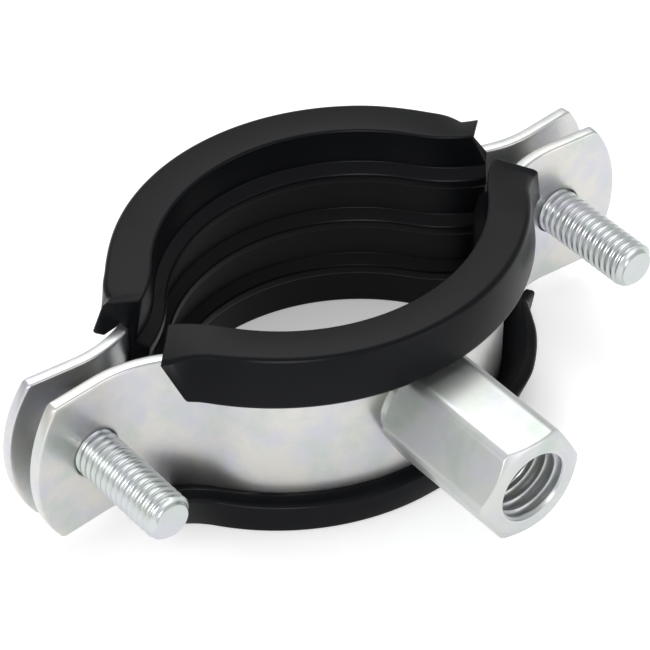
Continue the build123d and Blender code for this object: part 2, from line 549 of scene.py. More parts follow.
def thread_tree() -> Tree:
    """A tree that makes one right-hand screw thread along +Z.

    The rows of its grid follow the helix, so the crests stay sharp. At each end the
    thread runs out to a plain radius over a short ramp.
    """
    lengths = ("Length", "Pitch", "Crest Radius", "Root Radius")
    lengths += ("Near Radius", "Near Ramp", "Far Radius", "Far Ramp")
    sizes = {label: "Float" for label in lengths}
    sizes |= {"Rows": "Int", "Columns": "Int", "Material": "Material"}
    tree, size = tree_with("right-hand thread along a bar", sizes)

    def calc(operation: str, *values: Socket | float) -> Socket:
        """One arithmetic step in this tree."""
        return math_node(tree, operation, *values)

    def blend(start: Socket, end: Socket, share: Socket) -> Socket:
        """Goes from one value to another by a share between nothing and one."""
        inputs = {"Factor": share, "A": start, "B": end}
        return add_node(tree, "ShaderNodeMix", inputs, data_type="FLOAT").outputs[0]

    counts = {"Vertices X": size["Rows"], "Vertices Y": size["Columns"]}
    grid = add_node(tree, "GeometryNodeMeshGrid", {"Size X": 1.0, "Size Y": 1.0, **counts})
    flat = position_parts(tree)
    whole = calc("ADD", size["Length"], size["Pitch"])
    row_share = calc("ADD", flat["X"], 0.5)
    helix = calc("SUBTRACT", calc("MULTIPLY", row_share, whole), size["Pitch"])
    share = calc("ADD", flat["Y"], 0.5)
    raw = calc("MULTIPLY_ADD", share, size["Pitch"], helix)
    axial = calc("MINIMUM", calc("MAXIMUM", raw, 0.0), size["Length"])
    above_zero = 9.0  # whole turns that keep the phase positive before the start
    phase = calc("FRACT", calc("ADD", calc("DIVIDE", helix, size["Pitch"]), above_zero))
    wave = calc("ABSOLUTE", calc("MULTIPLY_ADD", phase, 2.0, -1.0))
    flank_span = (0.05, 0.8)
    flank = ranged(tree, wave, flank_span, interpolation_type="SMOOTHSTEP")
    radius = blend(size["Root Radius"], size["Crest Radius"], flank)
    far_along = calc("SUBTRACT", size["Length"], axial)
    for end, distance in (("Near", axial), ("Far", far_along)):
        ratio = calc("DIVIDE", distance, size[end + " Ramp"])
        run_out = add_node(tree, "ShaderNodeClamp", {"Value": ratio}).outputs[0]
        radius = blend(size[end + " Radius"], radius, run_out)
    angle = calc("MULTIPLY", share, TURN)
    x = calc("MULTIPLY", radius, calc("COSINE", angle))
    y = calc("MULTIPLY", radius, calc("SINE", angle))
    place = add_node(tree, "ShaderNodeCombineXYZ", {"X": x, "Y": y, "Z": axial}).outputs[0]
    inputs = {"Geometry": grid.outputs["Mesh"], "Position": place}
    wound = add_node(tree, "GeometryNodeSetPosition", inputs)
    inputs = {"Geometry": wound.outputs[0], "Distance": 1e-6}
    closed = add_node(tree, "GeometryNodeMergeByDistance", inputs)
    end_tree(tree, closed.outputs[0], size["Material"])
    return tree


def grown(blank: Object, tree: Tree, values: dict[str, object], name: str) -> Object:
    """Runs a geometry tree on an object and keeps the result as a plain mesh.

    Args:
        blank: The object that the tree starts from. It is removed.
        tree: The geometry tree.
        values: Input name to value.
        name: The result's name.

    Returns:
        A new object at the origin with a plain mesh.
    """
    modifier = blank.modifiers.new(tree.name, "NODES")
    modifier.node_group = tree
    for item in tree.interface.items_tree:
        if item.item_type == "SOCKET" and item.in_out == "INPUT" and item.name in values:
            modifier[item.identifier] = values[item.name]
    blank.update_tag()
    mesh = settled_mesh(blank)
    bpy.data.objects.remove(blank)
    mesh.name = name
    return link_object(name, mesh)


def settled_mesh(piece: Object) -> bpy.types.Mesh:
    """Works out an object's modifiers, removes them and gives the resulting mesh."""
    bpy.context.view_layer.update()
    graph = bpy.context.evaluated_depsgraph_get()
    mesh = bpy.data.meshes.new_from_object(piece.evaluated_get(graph), depsgraph=graph)
    piece.modifiers.clear()
    return mesh


# ---------------------------------------------------------------- strip route
@dataclass
class StripRoute:
    """The plan route of one half's strip: ear, flare, main arc, flare, ear."""

    arc_radius: float = 26.0
    arc_centre_y: float = 7.6
    arc_half_angle: float = 53.4
    flare_radius: float = 14.8
    ear_tilt: float = 4.7
    end_x: float = 45.2
    spacing: float = 0.1
    flare_centre: np.ndarray = field(init=False)
    points: np.ndarray = field(init=False)
    reach: np.ndarray = field(init=False)

    def __post_init__(self) -> None:
        """Works out the route's points and the distance to each from the middle."""
        turn, tilt = math.radians(self.arc_half_angle), math.radians(self.ear_tilt)
        both = self.arc_radius + self.flare_radius
        middle = np.array([0.0, self.arc_centre_y])
        self.flare_centre = arc_points(middle, both, [turn])[0]
        steps = int(self.arc_radius * turn / self.spacing)
        arc = arc_points(middle, self.arc_radius, np.linspace(0, turn, steps))
        steps = int(self.flare_radius * (turn + tilt) / self.spacing)
        turns = np.linspace(turn, -tilt, steps)[1:]
        flare = arc_points(self.flare_centre, -self.flare_radius, turns)
        start = flare[-1]
        run = (self.end_x - start[0]) / math.cos(tilt)
        ear = [
            start + step * np.array([math.cos(tilt), -math.sin(tilt)])
            for step in np.linspace(0, run, int(run / self.spacing))[1:]
        ]
        self.points = np.array(arc + flare + ear)
        spans = np.linalg.norm(np.diff(self.points, axis=0), axis=1)
        self.reach = np.concatenate([[0.0], np.cumsum(spans)])

    def outward(self) -> np.ndarray:
        """Unit normals at the right half's points, pointing away from the pipe."""
        return beside(np.gradient(self.points, axis=0))

    def distance_at(self, x: np.ndarray, offset: float = 0.0) -> np.ndarray:
        """Distance along the route at which a line beside it passes given x values.

        Args:
            x: Positions along X on the right half, in millimetres.
            offset: How far outward the line runs beside the route.

        Returns:
            Distances from the middle of the route.
        """
        beside = self.points[:, 0] + offset * self.outward()[:, 0]
        return np.interp(x, beside, self.reach)

    def distance_at_turn(self, direction: float) -> float:
        """Distance at which the flare runs at an angle, in degrees, to X."""
        arc = self.arc_radius * math.radians(self.arc_half_angle)
        return arc + self.flare_radius * math.radians(self.arc_half_angle - direction)

    def curve(self) -> Object:
        """The whole route as a curve object, from left to right."""
        left = self.points[:0:-1] * np.array([-1, 1])
        whole = np.vstack([left, self.points]) * MM
        data = bpy.data.curves.new("strip route", "CURVE")
        data.dimensions = "3D"
        spline = data.splines.new("POLY")
        spline.points.add(len(whole) - 1)
        for point, (x, y) in zip(spline.points, whole):
            point.co = (x, y, 0.0, 1.0)
        return link_object("strip route", data)

    def bend(self, blank: Object, tree: Tree, name: str, material: Material) -> Object:
        """Bends a flat blank along the route.

        Args:
            blank: The flat blank. It is removed.
            tree: The tree that bends it.
            name: The bent piece's name.
            material: The bent piece's finish.

        Returns:
            The bent piece.
        """
        guide = self.curve()
        half_length = float(self.reach[-1]) * MM
        values = {"Route": guide, "Half Length": half_length, "Material": material}
        bent = grown(blank, tree, values, name)
        bpy.data.objects.remove(guide)
        return bent


def turn_to_half(piece: Object, half: Half, sharp_angle: float = 30.0) -> None:
    """Turns a piece to its half of the clamp and shades it."""
    piece.data.transform(Matrix.Rotation(half.value, 4, "Z"))
    weld(piece.data)
    shade(piece.data, sharp_angle)


# ---------------------------------------------------------------- bands
def level_points(reach: np.ndarray, n: float, z: np.ndarray) -> np.ndarray:
    """Points of a flat blank that all lie at one distance outward from the route."""
    return np.stack([reach, np.full_like(reach, n), z], axis=-1)


@dataclass
class Band:
    """One rolled steel half: a flat blank with two screw holes, bent along the route.

    The steps of a collar's foot are how far out from its wall and up from the ear's
    face they lie. A collar with no height is left out.
    """

    half: Half
    route: StripRoute
    thickness: float = 1.5
    width: float = 20.0
    edge_round: float = 0.3
    ear_corner_x: float = 40.4
    ear_tip_x: float = 43.65
    corner_round: float = 1.0
    hole_x: float = 34.95
    hole_radius: float = 3.3
    hole_round: float = 0.25
    patch_x: float = 27.0
    columns: int = 27
    stations: int = 90
    patch_rings: int = 16
    tip_points: int = 29
    side_points: int = 15
    corner_steps: int = 6
    edge_points: int = 5
    hole_points: int = 4
    collar_radius: float = 0.0
    collar_height: float = 0.0
    collar_gap: float = 0.01
    collar_foot: tuple = ((0.5, 0.02), (0.15, 0.12), (0.0, 0.4))
    collar_edge: float = 0.2
    collar_mouth: float = 0.1
    collar_steps: int = 64

    def build(self, name: str, tree: Tree, material: Material) -> Object:
        """Makes the bent band.

        Args:
            name: The piece's name.
            tree: The tree that bends a blank along the route.
            material: The band's finish.

        Returns:
            The finished object.
        """
        blank = plain_object(name + " blank", *self._blank())
        band = self.route.bend(blank, tree, name, material)
        if self.collar_height:
            collars = [self._collar(side) for side in Side]
            for collar in collars:
                collar.data.materials.append(material)
            band = join(name, [band, *collars])
            band.data.materials.append(material)
        turn_to_half(band, self.half)
        return band

    def _outline(self) -> tuple[np.ndarray, np.ndarray]:
        """The right ear's outline from the patch line round and back, with its normals."""
        half = self.width / 2
        sagitta = self.ear_tip_x - self.ear_corner_x
        radius = (half**2 + sagitta**2) / (2 * sagitta)
        centre = self.ear_tip_x - radius
        limit = math.asin(half / radius)
        tip = [
            np.array([centre + radius * math.cos(a), radius * math.sin(a)])
            for a in np.linspace(-limit, limit, self.tip_points)
        ]
        low = np.array([self.patch_x, -half])
        high = np.array([self.patch_x, half])
        first = rounded_corner(low, tip[0], tip[1], self.corner_round, self.corner_steps)
        last = rounded_corner(tip[-2], tip[-1], high, self.corner_round, self.corner_steps)
        clear_of_corners = half - 1.2 * self.corner_round
        keep = [p for p in tip if abs(p[1]) < clear_of_corners]
        run = np.linspace(self.patch_x, first[0][0], self.side_points)[:-1]
        bottom = [np.array([x, -half]) for x in run]
        top = [np.array([x, half]) for x in run[::-1]]
        points = np.array(bottom + first + keep + last + top)
        normals = beside(np.gradient(points, axis=0))
        normals[0], normals[-1] = (0, -1), (0, 1)
        return points, normals

    def _edge_profile(self) -> list[tuple[float, float]]:
        """Offsets out of the face and along the thickness, round the strip's edge."""
        half = self.thickness / 2
        rounds = quarter_round(self.edge_round, self.edge_points)
        upper = [(-short, half - below) for short, below in rounds]
        return upper + [(out, -n) for out, n in upper[::-1]]

    def _blank(self) -> tuple[np.ndarray, list]:
        """Vertices and faces of the whole flat blank, in route coordinates."""
        vertices: list[np.ndarray] = []
        faces: list = []

        def add(rows: Sequence, ring: bool = False) -> None:
            """Adds one grid of vertices, and its mirror image on the left."""
            grid = np.array(rows)
            for sign in (1, -1):
                start = sum(len(part) for part in vertices)
                vertices.append(grid.reshape(-1, 3) * np.array([sign, 1, 1]))
                faces.extend(grid_faces(*grid.shape[:2], start, ring))

        outline, normals = self._outline()
        inset = outline - self.edge_round * normals
        patch_reach = float(self.route.distance_at(np.array([self.patch_x]))[0])
        stations = np.linspace(0, patch_reach, self.stations)
        levels = np.linspace(-1, 1, self.columns) * (self.width / 2 - self.edge_round)
        left_side = np.array([[self.patch_x, z] for z in levels[::-1]][1:-1])
        loop = np.vstack([inset, left_side])
        angles = np.arctan2(loop[:, 1], loop[:, 0] - self.hole_x)
        mouth = self.hole_radius + self.hole_round
        ring = np.stack([self.hole_x + mouth * np.cos(angles), mouth * np.sin(angles)], axis=1)
        shares = np.linspace(0, 1, self.patch_rings)
        patch = np.array([ring + share * (loop - ring) for share in shares])
        for n in (self.thickness / 2, -self.thickness / 2):
            add([[(u, n, z) for z in levels] for u in stations])
            reach = self.route.distance_at(patch[..., 0].ravel()).reshape(patch.shape[:2])
            exact = self.route.distance_at(ring[:, 0], n)
            reach += (exact - reach[0])[None, :] * (1 - shares)[:, None]
            add(level_points(reach, n, patch[..., 1]), ring=True)
        profile = self._edge_profile()
        rim = []
        for out, n in profile:
            line = outline + out * normals
            rim.append(level_points(self.route.distance_at(line[:, 0]), n, line[:, 1]))
        add(rim)
        for z_sign in (1, -1):
            edges = [(n, z_sign * (self.width / 2 + out)) for out, n in profile]
            add([[(u, n, z) for u in stations] for n, z in edges])
        add(self._hole_wall(angles), ring=True)
        return np.vstack(vertices), faces

    def _hole_wall(self, angles: np.ndarray) -> list[np.ndarray]:
        """Rows of the hole's wall, its axis square to the split plane."""
        half = self.thickness / 2
        rounds = quarter_round(self.hole_round, self.hole_points)
        upper = [(self.hole_radius + short, half - below) for short, below in rounds]
        rows = [*upper, (self.hole_radius, 0.0), *[(r, -n) for r, n in upper[::-1]]]
        wall = []
        for r, n in rows:
            reach = self.route.distance_at(self.hole_x + r * np.cos(angles), n)
            wall.append(level_points(reach, n, r * np.sin(angles)))
        return wall

    def _collar(self, side: Side) -> Object:
        """The collar drawn from an ear towards the other band, as a closed ring."""
        base = self.route.flare_centre[1] + self.route.flare_radius
        face = base + self.thickness / 2
        top = face + self.collar_height
        inner, outer = self.hole_radius + self.collar_gap, self.collar_radius
        foot = [(outer + out, face + up) for out, up in self.collar_foot]
        profile = [(inner, base), (foot[0][0], base), *foot]
        profile += [(outer, top - self.collar_edge), (outer - self.collar_edge, top)]
        profile += [(inner + self.collar_mouth, top), (inner, top - self.collar_mouth)]
        profile.append((inner, base))
        rings = spun(profile, self.collar_steps, side.value * self.hole_x)
        return stacked(f"collar {side.name}", rings)


# ---------------------------------------------------------------- linings
@dataclass(frozen=True)
class Settling:
    """How one lining lies on its strip, in millimetres.

    A slant cuts a lip's free edge back, an extra makes an end longer, a tuck draws the
    rubber towards the pipe and a droop lowers it. Left and right are the front half's.
    """

    left_lip_slant: float = 0.8
    right_lip_slant: float = 0.8
    lower_left_slant: float = 0.8
    lower_right_slant: float = 0.8
    left_extra: float = 0.0
    inner_extra: float = 0.0
    left_tuck: float = -0.3
    right_tuck: float = 1.3
    lower_right_tuck: float = 0.7
    lower_right_curl: float = 0.0
    lower_rim_tuck: float = 0.0
    lower_rim_span: tuple[float, float] = (0.1, 0.5)
    lower_fold: float = 0.0
    fold_starts: tuple[float, float] = (-32.0, -19.0)
    fold_ends: tuple[float, float] = (18.0, 8.0)
    fold_fall: float = 0.87
    droop_from: float = 20.0
    end_droop: float = 1.5
    end_tuck: float = 0.0
    waist_fill: float = 0.0

    def slants(self, side: Side) -> tuple[float, float]:
        """How far the upper and the lower lip's free edge are cut back at one end."""
        if side is Side.LEFT:
            return self.left_lip_slant, self.lower_left_slant
        return self.right_lip_slant, self.lower_right_slant


@dataclass
class Lining:
    """One rubber extrusion, laid along the strip and cut to length.

    The section's first number is the distance outward from the middle of the strip,
    and its second is the height along the pipe.
    """

    half: Half
    route: StripRoute
    settling: Settling
    rim_z: float = 13.5
    rim_inner: float = -1.75
    rim_outer: float = 3.3
    rim_rounds: tuple[float, float] = (0.4, 0.8)
    rib_crest: float = -3.2
    rib_z: float = 7.2
    rib_half_crest: float = 0.6
    rib_half_foot: float = 1.6
    crest_round: float = 0.55
    foot_round: float = 0.25
    lip_outer: tuple[float, float] = (5.2, 7.6)
    lip_inner: tuple[float, float] = (3.7, 7.15)
    lip_rounds: tuple[float, float] = (0.5, 0.3)
    groove: float = 0.78
    groove_mouth_z: float = 9.4
    groove_end_z: float = 10.03
    groove_rounds: tuple[float, float] = (0.15, 0.1)
    wall_z: float = 10.1
    end_direction: float = 31.0
    end_slant: float = 14.0
    lip_end_z: float = 11.7
    lip_fade: float = 0.8
    end_round: float = 0.25
    end_points: int = 4
    stations: int = 260
    corner_steps: int = 5

    def section(self) -> np.ndarray:
        """The closed section with its corners rounded, going round once."""
        crest, foot = self.rib_half_crest, self.rib_half_foot
        ribs = [
            (self.rib_crest, crest, self.crest_round),
            (self.rim_inner, foot, self.foot_round),
            (self.rim_inner, self.rib_z - foot, self.foot_round),
            (self.rib_crest, self.rib_z - crest, self.crest_round),
            (self.rib_crest, self.rib_z + crest, self.crest_round),
            (self.rim_inner, self.rib_z + foot, self.foot_round),
        ]
        edge = [
            (self.rim_inner, self.rim_z, self.rim_rounds[0]),
            (self.rim_outer, self.rim_z, self.rim_rounds[1]),
            (*self.lip_outer, self.lip_rounds[0]),
            (*self.lip_inner, self.lip_rounds[1]),
            (self.groove, self.groove_mouth_z, self.groove_rounds[0]),
            (self.groove, self.groove_end_z, self.groove_rounds[1]),
            (-self.groove, self.groove_end_z, self.groove_rounds[1]),
        ]
        upper = ribs + edge
        corners = upper + [(n, -z, r) for n, z, r in upper[::-1]]
        points: list[np.ndarray] = []
        for i, (n, z, r) in enumerate(corners):
            before = np.array(corners[i - 1][:2])
            after = np.array(corners[(i + 1) % len(corners)][:2])
            points.extend(rounded_corner(before, np.array([n, z]), after, r, self.corner_steps))
        return np.array(points)

    def _trim(self, section: np.ndarray, side: Side) -> np.ndarray:
        """How much sooner each point of the section ends than the rim's inner corner.

        Args:
            section: The section's points.
            side: The end of the lining.

        Returns:
            Each point's distance before the rim's inner corner, along the route.
        """
        n, z = section[:, 0], section[:, 1]
        lean = math.tan(math.radians(self.end_slant)) * (self.rim_inner - n)
        outer = ramp(n, self.groove, self.groove + self.lip_fade)
        down = ramp(np.abs(z), self.lip_end_z, self.lip_inner[1])
        upper_slant, lower_slant = self.settling.slants(side)
        slant = np.where(z > 0, upper_slant, lower_slant)
        bend = self.route.flare_radius
        inner = ramp(-n, 0.0, self.groove) * (np.abs(z) < self.wall_z)
        cut = (lean + outer * down * slant) * bend / (bend - n)
        return cut - inner * self.settling.inner_extra

    def _settled(self, section: np.ndarray, along: np.ndarray, end: float) -> np.ndarray:
        """Where the bent rubber settles: lips tuck in or fold, and the rims' ends droop.

        Args:
            section: The section's points.
            along: Each point's distance along the route, negative on the left.
            end: Distance from the route's middle to the lining's end.

        Returns:
            The section's points after the shift.
        """
        lie = self.settling
        n, z = section[:, 0], section[:, 1]
        across = ramp(along, -end, end)
        near_end = ramp(np.abs(along), lie.droop_from, end)
        lip = ramp(n, self.groove, self.lip_outer[0]) * ramp(np.abs(z), self.rim_z, self.lip_outer[1])
        rim = ramp(n, self.rim_inner, self.rim_outer) * ramp(np.abs(z), self.groove_mouth_z, self.rim_z)
        upper, lower = z > 0, z < 0
        right_tuck = np.where(upper, lie.right_tuck, lie.lower_right_tuck)
        tuck = (lie.left_tuck + (right_tuck - lie.left_tuck) * across) * lip
        peak_to_one = 12  # for near_end**4 * (1 - near_end), which peaks at about 1 / 12
        waist = lie.waist_fill * peak_to_one * (1 - near_end)
        tuck += (lie.end_tuck - waist) * near_end**4 * rim * upper
        tuck += lie.lower_rim_tuck * ramp(across, *lie.lower_rim_span) * rim * lower
        tuck += lie.lower_right_curl * near_end**3 * lip * (lower & (along > 0))
        droop = lie.end_droop * near_end**1.5 * rim * upper
        rise = ramp(along, *lie.fold_starts) * ramp(along, *lie.fold_ends)
        flap = ramp(n, self.groove, self.lip_inner[0])
        flap *= ramp(np.abs(z), self.rim_z, self.lip_outer[1]) * lower
        fold = lie.lower_fold * rise * rise * (3 - 2 * rise) * flap
        return np.stack([n - tuck - fold, z - droop - lie.fold_fall * fold], axis=1)

    def build(self, name: str, tree: Tree, material: Material) -> Object:
        """Makes the lining.

        Args:
            name: The piece's name.
            tree: The tree that bends a blank along the route.
            material: The rubber.

        Returns:
            The finished object.
        """
        section = self.section()
        end = self.route.distance_at_turn(self.end_direction)
        left_end = self._trim(section, Side.LEFT) - end - self.settling.left_extra
        right_end = end - self._trim(section, Side.RIGHT)
        outward = -beside(np.roll(section, -1, axis=0) - np.roll(section, 1, axis=0))
        caps = quarter_round(self.end_round, self.end_points)
        rows = [(section - outward * inward, left_end + back) for back, inward in caps[::-1]]
        first, last = left_end + self.end_round, right_end - self.end_round
        for share in np.linspace(0, 1, self.stations)[1:-1]:
            rows.append((section, first + (last - first) * share))
        rows += [(section - outward * inward, right_end - back) for back, inward in caps]
        rings = [np.column_stack([along, self._settled(cut, along, end)]) for cut, along in rows]
        blank = stacked(name + " blank", rings, capped=True)
        lining = self.route.bend(blank, tree, name, material)
        turn_to_half(lining, self.half, 40.0)
        return lining


# ---------------------------------------------------------------- threads
@dataclass(frozen=True)
class Thread:
    """One thread's sizes in millimetres. Each end has a plain radius and a ramp to it."""

    length: float
    pitch: float
    crest: float
    root: float
    near: tuple[float, float]
    far: tuple[float, float]
    rows_a_turn: int
    columns: int

    def wind(self, name: str, start_y: float, tree: Tree, material: Material) -> Object:
        """Winds the thread and stands it along Y.

        Args:
            name: The thread's name.
            start_y: Where its near end lies.
            tree: The tree that winds it.
            material: Its finish.

        Returns:
            The thread, open at both ends.
        """
        sizes = {
            "Length": self.length,
            "Pitch": self.pitch,
            "Crest Radius": self.crest,
            "Root Radius": self.root,
            "Near Radius": self.near[0],
            "Near Ramp": self.near[1],
            "Far Radius": self.far[0],
            "Far Ramp": self.far[1],
        }
        values: dict[str, object] = {label: size * MM for label, size in sizes.items()}
        turns = (self.length + self.pitch) / self.pitch
        values["Rows"] = int(turns * self.rows_a_turn) + 1
        values["Columns"] = self.columns
        values["Material"] = material
        seed = link_object(name + " seed", bpy.data.meshes.new(name + " seed"))
        wound = grown(seed, tree, values, name)
        wound.data.transform(Matrix.Rotation(-math.pi / 2, 4, "X"))
        wound.data.transform(Matrix.Translation((0, start_y * MM, 0)))
        return wound


def close_openings(mesh: bpy.types.Mesh, outer_radius: float | None = None) -> None:
    """Closes a thread's two open ends.

    Args:
        mesh: The open thread, with its axis along Y.
        outer_radius: In millimetres, where the thread gets an outer wall. With none,
            each end gets a flat cap.
    """
    work = bmesh.new()
    work.from_mesh(mesh)
    bmesh.ops.remove_doubles(work, verts=work.verts, dist=2e-6)
    edges = [edge for edge in work.edges if edge.is_boundary]
    if outer_radius is None:
        bmesh.ops.holes_fill(work, edges=edges, sides=0)
    else:
        grown_edges = bmesh.ops.extrude_edge_only(work, edges=edges)["geom"]
        for vertex in (item for item in grown_edges if isinstance(item, bmesh.types.BMVert)):
            flat = Vector((vertex.co.x, 0, vertex.co.z)).normalized() * outer_radius * MM
            vertex.co = (flat.x, vertex.co.y, flat.z)
        rim = [item for item in grown_edges if isinstance(item, bmesh.types.BMEdge)]
        bmesh.ops.bridge_loops(work, edges=[edge for edge in rim if edge.is_boundary])
    bmesh.ops.recalc_face_normals(work, faces=work.faces)
    work.to_mesh(mesh)
    work.free()


# ---------------------------------------------------------------- boss nut
@dataclass
class BossNut:
    """The hexagonal boss: drawn bar, chamfered ends, tapped hole and a fused weld ring.

    A chamfer or flat step is how far in from the outline a ring lies and how far behind
    the chamfer, both as shares of the edge's softness. A weld ring has a radius and a
    share of the way from the band to the boss, and a ripple has a size, a count of waves
    and a phase.
    """

    across_flats: float = 13.0
    corner_radius: float = 7.25
    face_radius: float = 6.2
    base_y: float = -19.6
    end_y: float = -38.05
    hole_depth: float = 15.0
    thread_minor: float = 4.25
    thread_major: float = 4.96
    pitch: float = 1.5
    wall: float = 5.06
    mouth: tuple[float, float] = (4.55, 0.5)
    run_out: float = 1.0
    plain_end: float = 0.6
    drill_tip: float = 1.2
    drill_corner: float = 0.4
    axis_gap: float = 0.02
    sleeve_gap: float = 0.01
    flat_points: int = 17
    corner_points: int = 6
    edge: float = 0.09
    chamfer_steps: tuple = ((1.6, 0.0), (0.6, 0.25))
    flat_steps: tuple = ((0.12, 0.5), (0.0, 1.5))
    band_radius: float = 26.75
    band_centre_y: float = 7.6
    weld_rings: tuple = ((5.0, 0.0), (6.1, 0.0), (5.98, 0.3), (5.92, 0.6), (5.95, 1.0), (5.0, 1.0))
    weld_ripples: tuple = ((0.06, 5, 0.7), (0.04, 11, 0.0), (0.03, 23, 2.0))
    weld_calm: float = 0.4
    weld_sink: tuple[float, float] = (0.06, 0.05)
    weld_steps: int = 96

    def build(self, name: str, thread: Tree, material: Material) -> Object:
        """Makes the boss.

        Args:
            name: The piece's name.
            thread: The tree that winds a thread.
            material: The boss's finish.

        Returns:
            The finished object.
        """
        shells = [self._shell(), self._sleeve(thread, material), self._weld_ring()]
        return assembled(name, shells, material, 32.0)

    def _columns(self) -> list[tuple[float, float]]:
        """Angle and outline radius at each column, close together at the corners."""
        flat = self.across_flats / 2
        limit = math.acos(flat / self.corner_radius)
        half_corner = math.pi / 6 - limit
        columns = []
        for side in range(6):
            middle = side * math.pi / 3 + math.pi / 6
            corner = middle + math.pi / 6
            turns = np.linspace(-limit, limit, self.flat_points)
            columns += [(middle + a, flat / math.cos(a)) for a in turns]
            turns = np.linspace(-half_corner, half_corner, self.corner_points)[1:-1]
            columns += [(corner + a, self.corner_radius) for a in turns]
        return columns

    def _end_rows(self, outline: list[float], y: float, inwards: float) -> list:
        """Rows of radius and y from an end face over the chamfer to the flats.

        Args:
            outline: The bar's radius at each column.
            y: The end face's place.
            inwards: One or minus one, towards the bar's middle.

        Returns:
            One list of pairs for each ring.
        """

        def behind(radius: float, drop: float) -> float:
            """The y of a point behind the chamfer's cone at a radius."""
            cone = max(0.0, radius - self.face_radius) * math.tan(math.pi / 6)
            return y + inwards * (cone + drop * self.edge)

        rim = self.face_radius + self.edge
        rows = [[(self.face_radius - 1.5 * self.edge, y) for _ in outline]]
        rows.append([(rim, behind(rim, 0.0)) for _ in outline])
        for back, drop in self.chamfer_steps:
            radii = [r - back * self.edge for r in outline]
            rows.append([(r, behind(r, drop)) for r in radii])
        for back, drop in self.flat_steps:
            rows.append([(r - back * self.edge, behind(r, drop)) for r in outline])
        return rows

    def _shell(self) -> Object:
        """The bar's outside, its end faces and the plain wall behind the thread."""
        columns = self._columns()
        outline = [r for _, r in columns]
        bottom = self.end_y + self.hole_depth
        drill = [
            (self.axis_gap, bottom + self.drill_tip),
            (self.wall, bottom - self.drill_corner),
            (self.wall, self.end_y),
        ]
        rows = [[point for _ in columns] for point in drill]
        rows += self._end_rows(outline, self.end_y, 1.0)
        rows += self._end_rows(outline, self.base_y, -1.0)[::-1]
        rows += [[(self.axis_gap, self.base_y) for _ in columns]]
        rings = [
            [(r * math.cos(a), y, r * math.sin(a)) for (r, y), (a, _) in zip(row, columns)]
            for row in rows
        ]
        return stacked("boss shell", rings, 32.0, capped=True)

    def _sleeve(self, tree: Tree, material: Material) -> Object:
        """The internal thread, as a closed ring inside the plain wall."""
        thread = Thread(
            length=self.hole_depth - self.plain_end,
            pitch=self.pitch,
            crest=self.thread_minor,
            root=self.thread_major,
            near=self.mouth,
            far=(self.thread_minor, self.run_out),
            rows_a_turn=14,
            columns=97,
        )
        sleeve = thread.wind("boss thread", self.end_y, tree, material)
        close_openings(sleeve.data, self.wall - self.sleeve_gap)
        return sleeve

    def _weld_ring(self) -> Object:
        """The fused ring between the boss and the curved band, slightly uneven."""
        sink, rise = self.weld_sink
        rings = []
        for radius, share in self.weld_rings:
            calm = 1.0 if 0 < share < 1 else self.weld_calm
            ring = []
            for a in np.linspace(0, TURN, self.weld_steps, endpoint=False):
                ripple = sum(size * math.sin(waves * a + at) for size, waves, at in self.weld_ripples)
                r = radius + ripple * calm
                x, z = r * math.cos(a), r * math.sin(a)
                surface = self.band_centre_y - math.sqrt(self.band_radius**2 - x * x) + sink
                ring.append((x, surface + share * (self.base_y - rise - surface), z))
            rings.append(ring)
        return stacked("weld ring", [*rings, rings[0]], 50.0)


